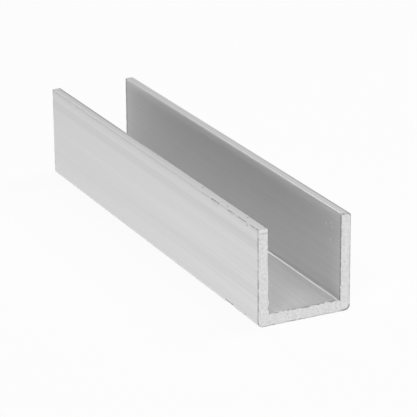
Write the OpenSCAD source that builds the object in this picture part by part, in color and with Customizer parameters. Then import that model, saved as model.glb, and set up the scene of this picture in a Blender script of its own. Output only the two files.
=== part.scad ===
/* [Section] */
// Width across the outside faces of the two flanges
channel_w = 20; // [12:0.5:60]
// Height from the underside of the web to the flange tips
channel_h = 20; // [8:0.5:60]
// Thickness of each flange
flange_t = 2; // [1:0.1:4]
// Thickness of the web
web_t = 2; // [1:0.1:4]

/* [Length] */
// Length between the two saw cuts
cut_length = 100; // [20:1:1000]

/* [Edges] */
// Radius of the two outside corners under the web
heel_r = 1; // [0.2:0.1:2]
// Radius of the fillets inside, where the flanges rise from the web
root_r = 0.4; // [0.1:0.1:1]
// Radius along both edges of each flange tip
tip_r = 0.4; // [0.1:0.05:0.5]

/* [Hidden] */
$fn = 64;

// Clear width between the flanges
inside_w = channel_w - 2 * flange_t;
// A tip keeps a narrow flat between its two rounded edges
tip_round = min(tip_r, 0.45 * flange_t);
// How far each cut runs past the face that it opens
past_face = 1;

// What is taken off a square corner at the origin, in the +X +Y quarter, to round it
module corner_waste(r) {
    difference() {
        translate([-past_face, -past_face])
            square(r + past_face);
        translate([r, r])
            circle(r);
    }
}

// Clear space between the flanges, with filleted roots, open above the tips
module inside_space() {
    difference() {
        translate([-inside_w / 2, web_t])
            square([inside_w, channel_h - web_t + past_face]);
        for (side = [0, 1])
            mirror([side, 0])
                translate([-inside_w / 2, web_t])
                    corner_waste(root_r);
    }
}

// Section across the length: a square channel, open side up, underside of the web on the X axis
module channel_section() {
    difference() {
        translate([-channel_w / 2, 0])
            square([channel_w, channel_h]);
        inside_space();
        for (side = [0, 1])
            mirror([side, 0]) {
                translate([-channel_w / 2, 0])
                    corner_waste(heel_r);
                translate([-channel_w / 2, channel_h])
                    mirror([0, 1])
                        corner_waste(tip_round);
                translate([-inside_w / 2, channel_h])
                    mirror([1, 0])
                        mirror([0, 1])
                            corner_waste(tip_round);
            }
    }
}

// One extruded bar, cut square at both ends, lying on its web along Y
module u_channel() {
    color("#c6c6c7")
        rotate([90, 0, 0])
            linear_extrude(cut_length, center = true)
                channel_section();
}

u_channel();
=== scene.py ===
import bmesh
import bpy
import math
from mathutils import Matrix, Vector


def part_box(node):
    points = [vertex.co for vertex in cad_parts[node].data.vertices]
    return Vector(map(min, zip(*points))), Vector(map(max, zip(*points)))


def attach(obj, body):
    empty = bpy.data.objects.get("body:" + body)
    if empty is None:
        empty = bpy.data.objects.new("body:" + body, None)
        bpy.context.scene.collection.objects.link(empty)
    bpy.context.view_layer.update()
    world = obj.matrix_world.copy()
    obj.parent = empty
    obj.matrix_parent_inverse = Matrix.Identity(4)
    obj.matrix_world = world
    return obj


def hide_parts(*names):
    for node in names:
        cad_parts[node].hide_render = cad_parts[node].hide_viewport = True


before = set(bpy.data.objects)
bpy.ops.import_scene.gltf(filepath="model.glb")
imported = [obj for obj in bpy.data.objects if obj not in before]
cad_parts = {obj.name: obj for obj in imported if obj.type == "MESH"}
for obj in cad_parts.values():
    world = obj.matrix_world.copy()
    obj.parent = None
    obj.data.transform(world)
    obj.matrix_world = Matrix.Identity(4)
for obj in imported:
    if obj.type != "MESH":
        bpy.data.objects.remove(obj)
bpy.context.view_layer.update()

MM = 0.001

# Sizes of the channel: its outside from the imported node, its walls and edges at their real size
HIGH = Vector(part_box("u_channel")[1])
HALF_W = HIGH.x
HEIGHT = HIGH.z
HALF_L = HIGH.y
WALL = 2.0 * MM
INSIDE = HALF_W - WALL
HEEL_R = 1.0 * MM
ROOT_R = 0.4 * MM
TIP_R = 0.4 * MM
# The inner edges of the tips stayed sharper than the outer ones
TIP_IN_R = 0.2 * MM

# Spacing of the rows round the section, and of the rings along the length
ROW = 0.25 * MM
WORN_RING = 0.3 * MM
PLAIN_RING = 4.0 * MM
# The end nearest the camera is worn this far along
WORN_LENGTH = 29.0 * MM
# Rings just behind each saw cut, which hold the foot of the burr
BURR_RINGS = (0.06 * MM, 0.15 * MM)

# What the saw left: the lip on the web, the lip on each flange by its side, the roughness of the face,
# the tears in its outer rim, and how coarse these are
WEB_LIP = 0.62 * MM
FLANGE_LIPS = ((-1, 0.34 * MM), (1, 0.18 * MM))
FACE_TEAR = 0.02 * MM
RIM_TEAR = 0.22 * MM
LIP_GRAIN = 0.54 * MM
RIM_GRAIN = 0.7 * MM
# One chip stands up from the near lip: its place across, and its height above the rest
CHIP_X = 4.8 * MM
CHIP_HEIGHT = 0.4 * MM

# Nicks in the left long edges: height, both ends along the length in mm, and how dark, in dirt and painted
# shade
NICK_DEPTH = 0.08 * MM
NICK_REACH = 0.5 * MM
NICKS = (
    (HEIGHT, -33.5, -30.1, 0.85),
    (HEIGHT, -39.6, -37.3, 0.75),
    (HEIGHT, -44.8, -41.4, 0.5),
    (HEIGHT, -48.4, -46.9, 0.6),
    (HEIGHT, -49.8, -49.1, 0.6),
    (0.0, -39.4, -36.2, 1.0),
    (0.0, -44.8, -44.2, 0.6),
)

# Small pits in the tips and the left flange's outer face: place and radius in mm
PIT_DEPTH = 0.04 * MM
PITS = (
    (-9.3, -35.9, 20.0, 0.22),
    (-8.72, -23.9, 20.0, 0.28),
    (-8.6, -43.1, 20.0, 0.22),
    (-10.0, -45.5, 19.4, 0.22),
    (8.5, -49.8, 20.0, 0.34),
)

# Light rubs on the inside of the right flange: place along and up in mm
RUBS = ((-43.9, 16.1), (-45.8, 17.0), (-46.4, 16.2), (-45.7, 13.4))

# Dark marks on the rim of the near cut, partly dirt and partly painted shadow of the burr: two corners
# across the section in mm, and how dark.
# They fade out this far in from the outline, and reach this far along
RIM_BAND = 0.35 * MM
RIM_REACH = 0.28 * MM
RIM_MARKS = (
    (-10.0, 18.7, -10.0, 19.0, 0.4),
    (-10.0, 16.6, -10.0, 17.4, 1.0),
    (-10.0, 15.4, -10.0, 15.9, 0.8),
    (-10.0, 13.0, -10.0, 13.7, 0.4),
    (-10.0, 11.4, -10.0, 11.7, 0.9),
    (-10.0, 9.1, -10.0, 10.0, 0.4),
    (-10.0, 6.4, -10.0, 7.3, 1.0),
    (-10.0, 4.0, -10.0, 4.7, 0.4),
    (-10.0, 0.8, -10.0, 2.6, 0.8),
    (10.0, 18.3, 10.0, 18.6, 0.6),
    (10.0, 17.1, 10.0, 17.4, 0.5),
    (10.0, 4.4, 10.0, 4.7, 1.0),
    (10.0, 2.7, 10.0, 3.0, 1.0),
    (9.4, 19.4, 10.0, 20.0, 1.0),
    (8.3, 0.0, 10.0, 1.1, 1.6),
    (8.3, 20.0, 8.6, 20.0, 1.0),
    (8.6, 20.0, 9.3, 20.0, 0.5),
)

# Dirt and painted shade: their colour, and how much of the metal they hide at most
DIRT_AND_SHADE_COLOUR = "#5a5855"
DIRT_AND_SHADE_COVER = 0.65

# Slack for picking what lies on a face, and for a finish that covers one
TINY = 0.001 * MM
SKIN = 0.05 * MM

SMOOTH_ANGLE = math.radians(30)


# Modelling helpers

def edit_mesh():
    """The mesh of the piece in hand, open for editing."""
    return bmesh.from_edit_mesh(bpy.context.object.data)


def pick(kind, test):
    """Select the vertices or faces of the piece in hand that pass the test."""
    bpy.ops.mesh.select_mode(type=kind)
    bpy.ops.mesh.select_all(action="DESELECT")
    mesh = edit_mesh()
    items = {"VERT": mesh.verts, "FACE": mesh.faces}[kind]
    for item in items:
        if test(item):
            item.select_set(True)
    mesh.select_flush_mode()
    bmesh.update_edit_mesh(bpy.context.object.data)


def slice_at(axis, place):
    """Cut the whole piece in hand with a plane across one axis."""
    point = [0.0, 0.0, 0.0]
    point["XYZ".index(axis)] = place
    normal = [float(letter == axis) for letter in "XYZ"]
    bpy.ops.mesh.select_all(action="SELECT")
    bpy.ops.mesh.bisect(plane_co=point, plane_no=normal)


def steps(start, stop, spacing):
    """Even places between two ends, without the ends."""
    count = max(1, round((stop - start) / spacing))
    return [start + (stop - start) * i / count for i in range(1, count)]


def press(x, y, z, reach):
    """Push the selected vertices, and softly those within reach of them."""
    bpy.ops.transform.translate(
        value=(x, y, z), use_proportional_edit=True, proportional_edit_falloff="SMOOTH",
        proportional_size=reach, use_proportional_connected=True)


def grip(name, weight, test):
    """Gather the vertices that pass the test into a vertex group, for a modifier to hold."""
    bar = bpy.context.object
    pick("VERT", test)
    group = bar.vertex_groups.get(name) or bar.vertex_groups.new(name=name)
    bar.vertex_groups.active = group
    bpy.context.scene.tool_settings.vertex_group_weight = weight
    bpy.ops.object.vertex_group_assign()


def roughen(name, axis, depth, grain, level, contrast=1.0):
    """Push a vertex group along an axis by a cloud pattern, and apply it."""
    bar = bpy.context.object
    clouds = bpy.data.textures.new(name, "CLOUDS")
    clouds.noise_scale = grain
    clouds.noise_depth = 2
    clouds.intensity = level
    clouds.contrast = contrast
    push = bar.modifiers.new(name, "DISPLACE")
    push.texture = clouds
    push.texture_coords = "LOCAL"
    push.direction = axis
    push.mid_level = 0.0
    push.strength = depth
    push.vertex_group = name
    bpy.ops.object.modifier_apply(modifier=name)


# The bar

def draw_section():
    """Draw the end of the bar: a square, less the inside of the channel, with rounded corners."""
    bpy.ops.object.select_all(action="DESELECT")
    bpy.ops.mesh.primitive_plane_add(
        size=2 * HALF_W, location=(0, -HALF_L, HEIGHT / 2), rotation=(math.pi / 2, 0, 0))
    bpy.ops.object.transform_apply(location=True, rotation=True, scale=True)
    bpy.ops.object.mode_set(mode="EDIT")
    for side in (-1, 1):
        slice_at("X", side * INSIDE)
    slice_at("Z", WALL)
    pick("FACE", lambda face: abs(face.calc_center_median().x) < INSIDE
         and face.calc_center_median().z > WALL)
    bpy.ops.mesh.delete(type="FACE")
    bpy.ops.mesh.select_all(action="SELECT")
    bpy.ops.mesh.dissolve_faces()
    bpy.ops.mesh.select_all(action="SELECT")
    bpy.ops.mesh.dissolve_limited(angle_limit=math.radians(1))
    corners = (
        (HALF_W, 0.0, HEEL_R, 8),
        (INSIDE, WALL, ROOT_R, 5),
        (HALF_W, HEIGHT, TIP_R, 5),
        (INSIDE, HEIGHT, TIP_IN_R, 4),
    )
    for x, z, radius, segments in corners:
        pick("VERT", lambda vert: abs(abs(vert.co.x) - x) < TINY and abs(vert.co.z - z) < TINY)
        bpy.ops.mesh.bevel(offset=radius, segments=segments, profile=0.5, affect="VERTICES")


def extrude_bar():
    """Push the section out to its length, and cut rows and rings for the finer work."""
    bpy.ops.mesh.select_all(action="SELECT")
    bpy.ops.mesh.extrude_region_move(TRANSFORM_OT_translate={"value": (0, 2 * HALF_L, 0)})
    bpy.ops.mesh.select_all(action="SELECT")
    bpy.ops.mesh.normals_make_consistent(inside=False)
    for x in steps(-HALF_W, HALF_W, ROW):
        slice_at("X", x)
    for z in steps(0.0, HEIGHT, ROW):
        slice_at("Z", z)
    worn_end = -HALF_L + WORN_LENGTH
    for y in steps(-HALF_L, worn_end, WORN_RING) + [worn_end] + steps(worn_end, HALF_L, PLAIN_RING):
        slice_at("Y", y)
    for depth in BURR_RINGS:
        for side in (-1, 1):
            slice_at("Y", side * (HALF_L - depth))


def in_nick(vert, nick, reach):
    """Whether a vertex lies in a nick's stretch of its edge, this near to the edge."""
    height, start, stop = nick[:3]
    return (vert.co.x < reach - HALF_W and abs(vert.co.z - height) < reach
            and start * MM < vert.co.y < stop * MM)


def wear_edges():
    """Press in what handling left: nicks in the left edges, and pits in the tips and the left face."""
    for nick in NICKS:
        height = nick[0]
        reach = TIP_R if height > 0 else HEEL_R
        pick("VERT", lambda vert: in_nick(vert, nick, reach))
        press(NICK_DEPTH, 0, -NICK_DEPTH if height > 0 else NICK_DEPTH, NICK_REACH)
    for x, y, z, radius in PITS:
        centre = Vector((x, y, z)) * MM
        pick("VERT", lambda vert: (vert.co - centre).length < radius * MM)
        on_tip = centre.z > HEIGHT - TINY
        press(0 if on_tip else PIT_DEPTH, 0, -PIT_DEPTH if on_tip else 0, radius * MM)


def at_cut(vert, end, depth=0.0):
    """Whether a vertex lies on the ring this deep behind the cut at one end."""
    return abs(end * vert.co.y - (HALF_L - depth)) < TINY


def inset(x, z):
    """How far a place on the cut lies in from the outline, round the corners under the web."""
    out = max(abs(x) - (HALF_W - HEEL_R), 0.0)
    down = max(HEEL_R - z, 0.0)
    return min(HEEL_R - math.hypot(out, down), HEIGHT - z)


def raise_burrs():
    """Saw tears: a ragged lip along the inside edges of each cut, and a broken outer edge."""
    # The lip on the web is taller at the left: both ends across in mm, and the share of its height
    lip = ((-8.0, -4.0, 0.85), (-4.0, 0.0, 0.88), (0.0, 4.0, 0.75), (4.0, 8.0, 0.72))
    # It runs out up the fillet at that side: rise above the web in mm, and the share
    lip_ends = ((0.08, 1.0), (0.2, 0.7), (0.35, 0.3))
    by_root = 0.3 * ROOT_R
    # The ring behind the cut follows the lip a little, and the lip of the far cut is lower
    for depth, share in ((0.0, 1.0), (BURR_RINGS[0], 0.4)):
        for end, height in ((-1, 1.0), (1, 0.6)):
            force = share * height
            for low, high, weight in lip:
                grip("web_lip", weight * force, lambda vert: at_cut(vert, end, depth)
                     and low * MM <= vert.co.x < high * MM and abs(vert.co.x) < INSIDE - by_root
                     and abs(vert.co.z - WALL) < by_root)
            for rise, weight in reversed(lip_ends):
                grip("web_lip", weight * force, lambda vert: at_cut(vert, end, depth)
                     and -INSIDE + TINY < vert.co.x < ROOT_R - INSIDE
                     and WALL - TINY < vert.co.z < WALL + rise * MM)
            # On the flanges it thins upwards, and at the far cut it stops short of the tips
            top = HEIGHT if end < 0 else HEIGHT - 2 * TIP_R
            thinning = ((WALL, 6 * MM, 1.0), (6 * MM, 12 * MM, 0.6), (12 * MM, top, 0.35))
            for side in (-1, 1):
                for low, high, weight in thinning:
                    grip("flange_lip_%d" % side, weight * force, lambda vert: at_cut(vert, end, depth)
                         and abs(side * vert.co.x - INSIDE) < TINY and low <= vert.co.z < high)
    for end in (-1, 1):
        grip("saw_face_%d" % end, 1.0, lambda vert: at_cut(vert, end))
        grip("torn_rim_%d" % end, 1.0, lambda vert: at_cut(vert, end)
             and vert.co.z < HEIGHT - TIP_R and inset(vert.co.x, vert.co.z) < 10 * TINY)
    bpy.ops.object.mode_set(mode="OBJECT")
    roughen("web_lip", "Z", WEB_LIP, LIP_GRAIN, 1.25, 1.7)
    for side, reach in FLANGE_LIPS:
        roughen("flange_lip_%d" % side, "X", -side * reach, LIP_GRAIN, 1.1, 1.8)
    for end in (-1, 1):
        roughen("saw_face_%d" % end, "Y", -end * FACE_TEAR, LIP_GRAIN, 0.9)
        roughen("torn_rim_%d" % end, "Y", -end * RIM_TEAR, RIM_GRAIN, 0.75)
    bpy.ops.object.mode_set(mode="EDIT")
    # The chip is one vertex of the lip, pulled up
    pick("VERT", lambda vert: vert.co.y < -HALF_L + BURR_RINGS[0] / 2
         and abs(vert.co.x - CHIP_X) < ROW / 2 and WALL < vert.co.z < WALL + 2 * ROOT_R)
    bpy.ops.transform.translate(value=(0, 0, CHIP_HEIGHT))


def mark_grime_and_shade():
    """Note on each vertex how dark it is painted, with dirt and painted shade: in the nicks, and along the
    rim of the near cut.
    """
    mesh = bpy.context.object.data
    grime_and_shade = mesh.attributes.new("grime_and_shade", "FLOAT", "POINT")
    slack = ROW / 2
    for vert in mesh.vertices:
        x, y, z = vert.co
        for nick in NICKS:
            reach = TIP_R if nick[0] > 0 else HEEL_R
            if in_nick(vert, nick, 2 * reach):
                grime_and_shade.data[vert.index].value = nick[3]
        if y > -HALF_L + RIM_REACH or inset(x, z) > RIM_BAND:
            continue
        for left, low, right, high, dirt_and_shade in RIM_MARKS:
            if left * MM - slack < x < right * MM + slack and low * MM - slack < z < high * MM + slack:
                grime_and_shade.data[vert.index].value = dirt_and_shade * (1 - inset(x, z) / RIM_BAND)


def make_channel():
    """Model the bar, give it its two finishes, and put it in the place of the CAD node."""
    draw_section()
    extrude_bar()
    wear_edges()
    raise_burrs()
    bar = bpy.context.object
    bar.name = "channel_bar"
    for finish in (mill_finish(), saw_cut()):
        bar.data.materials.append(finish)
    # The second finish goes on the two cuts
    pick("FACE", lambda face: abs(face.calc_center_median().y) > HALF_L - BURR_RINGS[0] / 2
         and abs(face.normal.y) > 0.5)
    bar.active_material_index = 1
    bpy.ops.object.material_slot_assign()
    bpy.ops.object.mode_set(mode="OBJECT")
    mark_grime_and_shade()
    bpy.ops.object.shade_smooth_by_angle(angle=SMOOTH_ANGLE)
    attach(bar, "root")
    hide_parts("u_channel")


# Finishes

def linear(code):
    """Turn an sRGB hex colour into the linear colour that a shader takes."""
    parts = [int(code[i:i + 2], 16) / 255 for i in (1, 3, 5)]
    return [c / 12.92 if c <= 0.04045 else ((c + 0.055) / 1.055) ** 2.4 for c in parts] + [1.0]


def node(tree, kind, inputs=None, **settings):
    """Add a node with its settings, and link or set its inputs."""
    made = tree.nodes.new("ShaderNode" + kind)
    for name, value in settings.items():
        setattr(made, name, value)
    for key, value in (inputs or {}).items():
        if isinstance(value, bpy.types.NodeSocket):
            tree.links.new(value, made.inputs[key])
        else:
            made.inputs[key].default_value = value
    return made.outputs


def new_material(name):
    """An empty node material, and its tree."""
    material = bpy.data.materials.new(name)
    material.use_nodes = True
    material.node_tree.nodes.clear()
    return material, material.node_tree


def pitch(across, along):
    """Scale at which one unit of a pattern is this many mm across and along the bar."""
    return 1 / (across * MM), 1 / (along * MM), 1 / (across * MM)


def mill_finish():
    """Aluminium as it leaves the extrusion press: satin, with streaks drawn out along the length."""
    material, tree = new_material("mill_finish_aluminium")
    place = node(tree, "TexCoord")["Object"]
    axis = node(tree, "SeparateXYZ", {"Vector": place})
    width = node(tree, "Math", {0: axis["X"]}, operation="ABSOLUTE")[0]
    along = node(tree, "Math", {0: axis["Y"]}, operation="ABSOLUTE")[0]
    depth = node(tree, "Math", {0: HALF_L, 1: along}, operation="SUBTRACT")[0]

    # The inside, which keeps the more even and duller skin of the die's core
    within = node(tree, "Math", {0: width, 1: INSIDE + SKIN}, operation="LESS_THAN")[0]
    above = node(tree, "Math", {0: axis["Z"], 1: WALL - SKIN}, operation="GREATER_THAN")[0]
    inner = node(tree, "Math", {0: within, 1: above}, operation="MULTIPLY")[0]

    # Die lines, drawn a few times coarser than the real ones so that they show, and wider bands
    spread = node(tree, "Mapping", {"Vector": place, "Scale": pitch(0.34, 70)})[0]
    lines = node(tree, "TexNoise", {"Vector": spread, "Scale": 1.0, "Detail": 2.0})["Fac"]
    spread = node(tree, "Mapping", {"Vector": place, "Scale": pitch(2.4, 160)})[0]
    bands = node(tree, "TexNoise", {"Vector": spread, "Scale": 1.0, "Detail": 1.0})["Fac"]
    # The lines show most near the cut that faces the camera, and the bands least inside
    near = node(tree, "MapRange", {
        "Value": axis["Y"], "From Min": -HALF_L, "From Max": 0.0, "To Min": 1.2, "To Max": 0.4})[0]
    wide = node(tree, "MapRange", {"Value": inner, "To Min": 0.45, "To Max": 0.12})[0]
    streak = node(tree, "Math", {0: lines, 1: 0.5}, operation="SUBTRACT")[0]
    streak = node(tree, "Math", {0: streak, 1: near}, operation="MULTIPLY")[0]
    band = node(tree, "Math", {0: bands, 1: 0.5}, operation="SUBTRACT")[0]
    tone = node(tree, "Math", {0: band, 1: wide, 2: streak}, operation="MULTIPLY_ADD")[0]
    tone = node(tree, "MapRange", {
        "Value": tone, "From Min": -0.6, "From Max": 0.6}, interpolation_type="SMOOTHSTEP")[0]
    colour = node(tree, "Mix", {
        0: tone, 6: linear("#e2e2e3"), 7: linear("#ebebeb")}, data_type="RGBA")[2]

    # A darker band runs the length of each outer face, under the flange tip
    outer = node(tree, "Math", {0: width, 1: HALF_W - 0.2 * MM}, operation="GREATER_THAN")[0]
    rise = node(tree, "MapRange", {
        "Value": axis["Z"], "From Min": 15.3 * MM, "From Max": 16.5 * MM, "To Max": 0.4},
        interpolation_type="SMOOTHSTEP")[0]
    fall = node(tree, "MapRange", {
        "Value": axis["Z"], "From Min": 17.4 * MM, "From Max": 18.0 * MM, "To Min": 1.0, "To Max": 0.0},
        interpolation_type="SMOOTHSTEP")[0]
    darker_band = node(tree, "Math", {0: rise, 1: fall}, operation="MULTIPLY")[0]
    # The face darkens again up to the tip, most far along
    far = node(tree, "MapRange", {
        "Value": axis["Y"], "From Min": -40 * MM, "From Max": -5 * MM})[0]
    upper = node(tree, "MapRange", {
        "Value": axis["Z"], "From Min": 18.2 * MM, "From Max": 19.6 * MM, "To Max": 0.42})[0]
    upper = node(tree, "Math", {0: upper, 1: far}, operation="MULTIPLY")[0]
    darker_band = node(tree, "Math", {0: darker_band, 1: upper}, operation="MAXIMUM")[0]
    darker_band = node(tree, "Math", {0: darker_band, 1: outer}, operation="MULTIPLY")[0]
    colour = node(tree, "Mix", {0: darker_band, 6: colour, 7: linear("#d8d8d9")}, data_type="RGBA")[2]

    # The edges of the tips are painted paler: the inner ones carry a painted highlight, most near the
    # camera
    tip = node(tree, "Math", {0: axis["Z"], 1: HEIGHT - TIP_R}, operation="GREATER_THAN")[0]
    burnish_and_highlight = node(tree, "MapRange", {
        "Value": axis["Y"], "From Min": -40 * MM, "From Max": 35 * MM, "To Min": 1.0, "To Max": 0.2})[0]
    burnish_and_highlight = node(tree, "Math", {0: burnish_and_highlight, 1: tip}, operation="MULTIPLY")[0]
    edge = node(tree, "MapRange", {
        "Value": width, "From Min": INSIDE + 0.25 * MM, "From Max": INSIDE + 0.45 * MM,
        "To Min": 0.8, "To Max": 0.0}, interpolation_type="SMOOTHSTEP")[0]
    edge = node(tree, "Math", {0: edge, 1: burnish_and_highlight}, operation="MULTIPLY")[0]
    # The outer ones are painted paler far along, painted light that softens the shading of their rounding.
    # Across and up together tell how far round the edge a place is
    sharp = HALF_W + HEIGHT
    round_tip = node(tree, "Math", {0: width, 1: axis["Z"]}, operation="ADD")[0]
    share = node(tree, "MapRange", {
        "Value": axis["Y"], "From Min": -30 * MM, "From Max": 10 * MM, "To Min": 0.22, "To Max": 0.36})[0]
    rubs_and_painted_light = node(tree, "MapRange", {
        "Value": round_tip, "From Min": sharp - 0.5 * MM, "From Max": sharp - 0.3 * MM,
        "To Max": share}, interpolation_type="SMOOTHSTEP")[0]
    rubs_and_painted_light = node(tree, "Math", {0: rubs_and_painted_light, 1: edge}, operation="MAXIMUM")[0]
    # The foot of each outer face is painted a little paler too, painted light that lifts the shade near
    # the floor
    foot_painted_light = node(tree, "MapRange", {
        "Value": axis["Z"], "From Min": 4.4 * MM, "From Max": 5.2 * MM, "To Min": 0.1, "To Max": 0.0})[0]
    foot_painted_light = node(tree, "Math", {0: foot_painted_light, 1: outer}, operation="MULTIPLY")[0]
    rubs_and_painted_light = node(tree, "Math", {0: rubs_and_painted_light, 1: foot_painted_light}, operation="MAXIMUM")[0]
    # Each rub is a short upright stroke
    for y, z in RUBS:
        centre = Vector((INSIDE, y * MM, z * MM))
        stroke = node(tree, "VectorMath", {0: place, 1: centre}, operation="SUBTRACT")[0]
        stroke = node(tree, "VectorMath", {0: stroke, 1: (1.0, 1.0, 0.6)}, operation="MULTIPLY")[0]
        stroke = node(tree, "VectorMath", {0: stroke}, operation="LENGTH")["Value"]
        stroke = node(tree, "MapRange", {
            "Value": stroke, "From Min": 0.1 * MM, "From Max": 0.3 * MM, "To Min": 0.8, "To Max": 0.0})[0]
        rubs_and_painted_light = node(tree, "Math", {0: rubs_and_painted_light, 1: stroke}, operation="MAXIMUM")[0]
    # Rubs, painted highlight and painted light all mix the colour towards near white
    colour = node(tree, "Mix", {0: rubs_and_painted_light, 6: colour, 7: linear("#fafafa")}, data_type="RGBA")[2]

    # Dirt and painted shade in the nicks: a thin line on the crest of the tip's edge, and separate grains
    # on the heel
    crest = node(tree, "MapRange", {
        "Value": round_tip, "From Min": sharp - 0.42 * MM, "From Max": sharp - 0.4 * MM},
        interpolation_type="SMOOTHSTEP")[0]
    heel = node(tree, "Math", {0: axis["Z"], 1: 0.85 * MM, 2: 0.2 * MM}, operation="COMPARE")[0]
    nicked = 0.0
    # Each has the length of its grains in mm, and where in the noise a grain starts and is full
    for stretch, length, low, high in ((crest, 1.6, 0.28, 0.44), (heel, 0.7, 0.42, 0.54)):
        spread = node(tree, "Mapping", {"Vector": place, "Scale": pitch(0.5, length)})[0]
        grit = node(tree, "TexNoise", {"Vector": spread, "Scale": 1.0, "Detail": 2.0})["Fac"]
        grit = node(tree, "MapRange", {
            "Value": grit, "From Min": low, "From Max": high}, interpolation_type="SMOOTHSTEP")[0]
        grit = node(tree, "Math", {0: grit, 1: stretch}, operation="MULTIPLY")[0]
        nicked = node(tree, "Math", {0: grit, 1: nicked}, operation="MAXIMUM")[0]
    # Dark marks noted on the vertices: dirt, and painted shade in the nicks and of the burr on the rim
    grime_and_shade = node(tree, "Attribute", attribute_name="grime_and_shade")["Fac"]

    # Dirt and painted shadow of the burr in the torn edge beside the saw cut, and a smear of dirt and
    # painted shadow of the lip a little further along the inside
    spread = node(tree, "Mapping", {"Vector": place, "Scale": pitch(0.8, 0.8)})[0]
    torn = node(tree, "TexNoise", {"Vector": spread, "Scale": 1.0, "Detail": 3.0})["Fac"]
    torn = node(tree, "MapRange", {
        "Value": torn, "From Min": 0.42, "From Max": 0.62, "To Min": 0.25, "To Max": 0.8},
        interpolation_type="SMOOTHSTEP")[0]
    rim = node(tree, "MapRange", {
        "Value": depth, "From Min": 0.1 * MM, "From Max": 0.24 * MM, "To Min": 1.0, "To Max": 0.0},
        interpolation_type="SMOOTHSTEP")[0]
    marked = node(tree, "Math", {0: nicked, 1: rim}, operation="MAXIMUM")[0]
    marked = node(tree, "Math", {0: marked, 1: grime_and_shade}, operation="MULTIPLY")[0]
    torn = node(tree, "Math", {0: torn, 1: rim}, operation="MULTIPLY")[0]
    dirt_and_shade = node(tree, "Math", {0: marked, 1: torn}, operation="MAXIMUM")[0]
    # The smear, dirt and painted shadow of the lip, reaches further on the web, behind the taller lip
    web = node(tree, "Math", {0: axis["Z"], 1: WALL + 0.1 * MM}, operation="LESS_THAN")[0]
    behind = node(tree, "MapRange", {"Value": web, "To Min": 1.0, "To Max": 0.5})[0]
    behind = node(tree, "Math", {0: depth, 1: behind}, operation="MULTIPLY")[0]
    smear_and_lip_shadow = node(tree, "MapRange", {
        "Value": behind, "From Min": 0.3 * MM, "From Max": 0.75 * MM, "To Min": 0.5, "To Max": 0.0},
        interpolation_type="SMOOTHSTEP")[0]
    smear_and_lip_shadow = node(tree, "Math", {0: smear_and_lip_shadow, 1: inner}, operation="MULTIPLY")[0]
    dirt_and_shade = node(tree, "Math", {0: dirt_and_shade, 1: smear_and_lip_shadow}, operation="MAXIMUM")[0]
    for x, y, z, radius in PITS:
        centre = Vector((x, y, z)) * MM
        away = node(tree, "VectorMath", {0: place, 1: centre}, operation="DISTANCE")["Value"]
        away = node(tree, "MapRange", {
            "Value": away, "From Min": 0.5 * radius * MM, "From Max": radius * MM,
            "To Min": 1.0, "To Max": 0.0})[0]
        dirt_and_shade = node(tree, "Math", {0: dirt_and_shade, 1: away}, operation="MAXIMUM")[0]
    # A thin line of painted shade along the right-hand edge of each tip, the shading of its rounding. On
    # the left flange it lies all along and widens far along, and on the right flange it shows near the cut
    # that faces the camera.
    # Each row: the edge, where along in mm it starts and is full, how strong, and how far in it reaches
    painted_edge_shade = (
        (-INSIDE, 60, 50, 0.8, SKIN),
        (-INSIDE, -10, 20, 0.5, 0.4 * MM),
        (HALF_W, 20, -40, 0.5, 0.5 * MM),
    )
    for side, start, stop, share, reach in painted_edge_shade:
        away = node(tree, "Math", {0: side, 1: axis["X"]}, operation="SUBTRACT")[0]
        beside = node(tree, "Math", {0: away, 1: -SKIN}, operation="GREATER_THAN")[0]
        line = node(tree, "MapRange", {
            "Value": away, "From Min": reach, "From Max": reach + 0.25 * MM, "To Min": 1.0, "To Max": 0.0},
            interpolation_type="SMOOTHSTEP")[0]
        shown = node(tree, "MapRange", {
            "Value": axis["Y"], "From Min": start * MM, "From Max": stop * MM, "To Max": share})[0]
        for mask in (beside, tip, shown):
            line = node(tree, "Math", {0: line, 1: mask}, operation="MULTIPLY")[0]
        dirt_and_shade = node(tree, "Math", {0: dirt_and_shade, 1: line}, operation="MAXIMUM")[0]
    # All the dark marks, dirt and painted shade alike, mix towards one dark colour
    dirt_and_shade = node(tree, "Math", {0: dirt_and_shade, 1: DIRT_AND_SHADE_COVER}, operation="MULTIPLY")[0]
    colour = node(tree, "Mix", {0: dirt_and_shade, 6: colour, 7: linear(DIRT_AND_SHADE_COLOUR)}, data_type="RGBA")[2]

    # The die burnishes the fillets inside, and handling the inner edges of the tips
    fillet = node(tree, "Math", {0: axis["Z"], 1: WALL + 0.17 * MM, 2: 0.23 * MM}, operation="COMPARE")[0]
    corner = node(tree, "Math", {0: width, 1: INSIDE - 0.17 * MM, 2: 0.23 * MM}, operation="COMPARE")[0]
    fillet = node(tree, "Math", {0: fillet, 1: corner}, operation="MULTIPLY")[0]
    edge = node(tree, "Math", {0: width, 1: INSIDE + TIP_IN_R}, operation="LESS_THAN")[0]
    edge = node(tree, "Math", {0: edge, 1: burnish_and_highlight}, operation="MULTIPLY")[0]
    bright = node(tree, "Math", {0: edge, 1: 0.7, 2: fillet}, operation="MULTIPLY_ADD")[0]
    satin = node(tree, "MapRange", {"Value": tone, "To Min": 0.76, "To Max": 0.68})[0]
    satin = node(tree, "Math", {0: inner, 1: 0.18, 2: satin}, operation="MULTIPLY_ADD")[0]
    satin = node(tree, "Math", {0: bright, 1: -0.54, 2: satin}, operation="MULTIPLY_ADD")[0]
    bump = node(tree, "Bump", {"Height": lines, "Strength": 0.15, "Distance": 0.02 * MM})["Normal"]
    shader = node(tree, "BsdfPrincipled", {
        "Base Color": colour, "Metallic": 1.0, "Roughness": satin, "Normal": bump})
    node(tree, "OutputMaterial", {"Surface": shader["BSDF"]})
    return material


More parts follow.
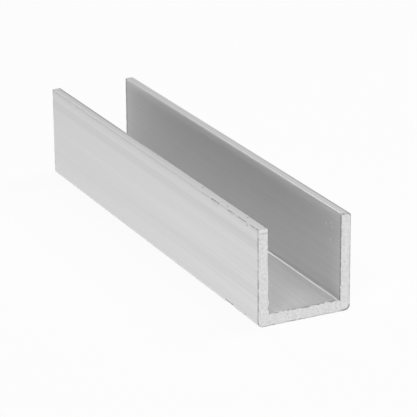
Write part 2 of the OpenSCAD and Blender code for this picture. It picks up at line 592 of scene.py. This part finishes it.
def saw_cut():
    """Freshly sawn aluminium: bright, torn and matt, with a dark broken line round its outer edge, partly
    dirt and partly painted shadow of the burr.
    """
    material, tree = new_material("saw_cut_aluminium")
    place = node(tree, "TexCoord")["Object"]
    axis = node(tree, "SeparateXYZ", {"Vector": place})
    # Torn grain, about half a millimetre across, with pits in it
    spread = node(tree, "Mapping", {"Vector": place, "Scale": pitch(0.55, 0.55)})[0]
    grain = node(tree, "TexNoise", {"Vector": spread, "Scale": 1.0, "Detail": 3.0})["Fac"]
    tone = node(tree, "MapRange", {
        "Value": grain, "From Min": 0.3, "From Max": 0.7}, interpolation_type="SMOOTHSTEP")[0]
    colour = node(tree, "Mix", {
        0: tone, 6: linear("#e7e7e7"), 7: linear("#f3f3f3")}, data_type="RGBA")[2]
    spread = node(tree, "Mapping", {"Vector": place, "Scale": pitch(0.43, 0.43)})[0]
    pits = node(tree, "TexNoise", {"Vector": spread, "Scale": 1.0, "Detail": 1.0})["Fac"]
    pits = node(tree, "MapRange", {
        "Value": pits, "From Min": 0.62, "From Max": 0.74, "To Max": 0.35},
        interpolation_type="SMOOTHSTEP")[0]
    colour = node(tree, "Mix", {0: pits, 6: colour, 7: linear("#c4c4c3")}, data_type="RGBA")[2]

    # Distance in from the outer edge of the cut, round the corners under the web as well
    width = node(tree, "Math", {0: axis["X"]}, operation="ABSOLUTE")[0]
    out = node(tree, "Math", {0: width, 1: HALF_W - HEEL_R}, operation="SUBTRACT")[0]
    out = node(tree, "Math", {0: out, 1: 0.0}, operation="MAXIMUM")[0]
    down = node(tree, "Math", {0: HEEL_R, 1: axis["Z"]}, operation="SUBTRACT")[0]
    down = node(tree, "Math", {0: down, 1: 0.0}, operation="MAXIMUM")[0]
    corner = node(tree, "CombineXYZ", {"X": out, "Z": down})["Vector"]
    reach = node(tree, "VectorMath", {0: corner}, operation="LENGTH")["Value"]
    rim = node(tree, "MapRange", {
        "Value": reach, "From Min": HEEL_R - 0.2 * MM, "From Max": HEEL_R - 0.08 * MM},
        interpolation_type="SMOOTHSTEP")[0]
    spread = node(tree, "Mapping", {"Vector": place, "Scale": pitch(1.1, 1.1)})[0]
    torn = node(tree, "TexNoise", {"Vector": spread, "Scale": 1.0, "Detail": 3.0})["Fac"]
    torn = node(tree, "MapRange", {
        "Value": torn, "From Min": 0.42, "From Max": 0.62, "To Min": 0.25, "To Max": 0.8},
        interpolation_type="SMOOTHSTEP")[0]
    # A line of painted shade stands for a step of the saw, not modelled, across the left flange's near cut
    # just under its tip, half as dark as the rim
    step_shade = node(tree, "Math", {0: axis["Z"], 1: HEIGHT - 0.95 * MM, 2: 0.11 * MM}, operation="COMPARE")[0]
    left = node(tree, "Math", {0: axis["X"], 1: -INSIDE}, operation="LESS_THAN")[0]
    front = node(tree, "Math", {0: axis["Y"], 1: 0.0}, operation="LESS_THAN")[0]
    for mask in (torn, left, front, 0.5):
        step_shade = node(tree, "Math", {0: step_shade, 1: mask}, operation="MULTIPLY")[0]
    # The broken rim line is partly dirt and partly painted shadow of the burr
    torn = node(tree, "Math", {0: torn, 1: rim}, operation="MULTIPLY")[0]
    # Dark marks noted on the vertices: dirt, and painted shade in the nicks and of the burr on the rim
    grime_and_shade = node(tree, "Attribute", attribute_name="grime_and_shade")["Fac"]
    dirt_and_shade = node(tree, "Math", {0: torn, 1: grime_and_shade}, operation="MAXIMUM")[0]
    dirt_and_shade = node(tree, "Math", {0: dirt_and_shade, 1: step_shade}, operation="MAXIMUM")[0]
    dirt_and_shade = node(tree, "Math", {0: dirt_and_shade, 1: DIRT_AND_SHADE_COVER}, operation="MULTIPLY")[0]
    colour = node(tree, "Mix", {0: dirt_and_shade, 6: colour, 7: linear(DIRT_AND_SHADE_COLOUR)}, data_type="RGBA")[2]
    bump = node(tree, "Bump", {"Height": grain, "Strength": 0.2, "Distance": 0.05 * MM})["Normal"]
    shader = node(tree, "BsdfPrincipled", {
        "Base Color": colour, "Metallic": 1.0, "Roughness": 0.7, "Normal": bump})
    node(tree, "OutputMaterial", {"Surface": shader["BSDF"]})
    return material


# Studio

def make_floor():
    """A white floor that keeps a faint shadow: nine tenths plain white to the eye and in the metal."""
    bpy.ops.object.select_all(action="DESELECT")
    bpy.ops.mesh.primitive_plane_add(size=8.0)
    floor = bpy.context.object
    floor.name = "studio_floor"
    material, tree = new_material("white_studio_paper")
    ray = node(tree, "LightPath")
    seen = node(tree, "Math", {0: ray["Is Camera Ray"], 1: ray["Is Glossy Ray"]}, operation="MAXIMUM")
    seen = node(tree, "Math", {0: seen[0], 1: ray["Is Transmission Ray"]}, operation="MAXIMUM")
    share = node(tree, "Math", {0: seen[0], 1: 0.9}, operation="MULTIPLY")
    paper = node(tree, "BsdfDiffuse", {"Color": linear("#f2f2f2")})
    glow = node(tree, "Emission", {"Strength": 1.0})
    mix = node(tree, "MixShader", {0: share[0], 1: paper[0], 2: glow[0]})
    node(tree, "OutputMaterial", {"Surface": mix[0]})
    # Its white is only seen, and never sampled as a lamp
    material.cycles.emission_sampling = "NONE"
    floor.data.materials.append(material)


def make_world():
    """A faint white dome, so that no shade is quite black."""
    world = bpy.data.worlds.new("studio_dome")
    world.use_nodes = True
    tree = world.node_tree
    tree.nodes.clear()
    light = node(tree, "Background", {"Color": (1, 1, 1, 1), "Strength": 0.02})
    node(tree, "OutputWorld", {"Surface": light[0]})
    bpy.context.scene.world = world


def make_lamps():
    """Soft boxes: three above, low ones at the left and in front, and one behind."""
    # Each has its place in mm, its width and height in m, and its power in W
    boxes = (
        ("overhead_softbox", (80, -30, 780), 0.5, 0.5, 2.5),
        ("upper_left_softbox", (-400, -400, 600), 0.3, 0.3, 1.6),
        ("upper_right_softbox", (500, 0, 620), 0.3, 0.3, 1.8),
        ("left_softbox", (-800, 0, 65), 0.5, 0.12, 1.35),
        ("front_softbox", (160, -790, 120), 0.5, 0.5, 1.42),
        ("back_softbox", (-60, 630, 410), 0.35, 0.35, 0.84),
    )
    for name, place, width, height, power in boxes:
        light = bpy.data.lights.new(name, "AREA")
        light.shape = "RECTANGLE"
        light.size = width
        light.size_y = height
        light.energy = power
        lamp = bpy.data.objects.new(name, light)
        bpy.context.scene.collection.objects.link(lamp)
        lamp.location = Vector(place) * MM
        lamp.rotation_euler = (-lamp.location).to_track_quat("-Z", "Y").to_euler()


def make_camera():
    """The photograph's viewpoint, in the bar's own frame, on a 36 mm sensor."""
    place = Vector((-193.5, -404.1, 171.7)) * MM
    turn, down, roll = (math.radians(angle) for angle in (-26.07, 20.28, -0.535))
    lens_data = bpy.data.cameras.new("product_camera")
    lens_data.sensor_width = 36.0
    lens_data.lens = 196.8
    camera = bpy.data.objects.new("product_camera", lens_data)
    bpy.context.scene.collection.objects.link(camera)
    camera.matrix_world = (
        Matrix.Translation(place)
        @ Matrix.Rotation(turn, 4, "Z")
        @ Matrix.Rotation(math.pi / 2 - down, 4, "X")
        @ Matrix.Rotation(roll, 4, "Z"))
    bpy.context.scene.camera = camera


make_camera()
make_channel()
make_floor()
make_world()
make_lamps()
bpy.context.scene.view_settings.view_transform = "Standard"
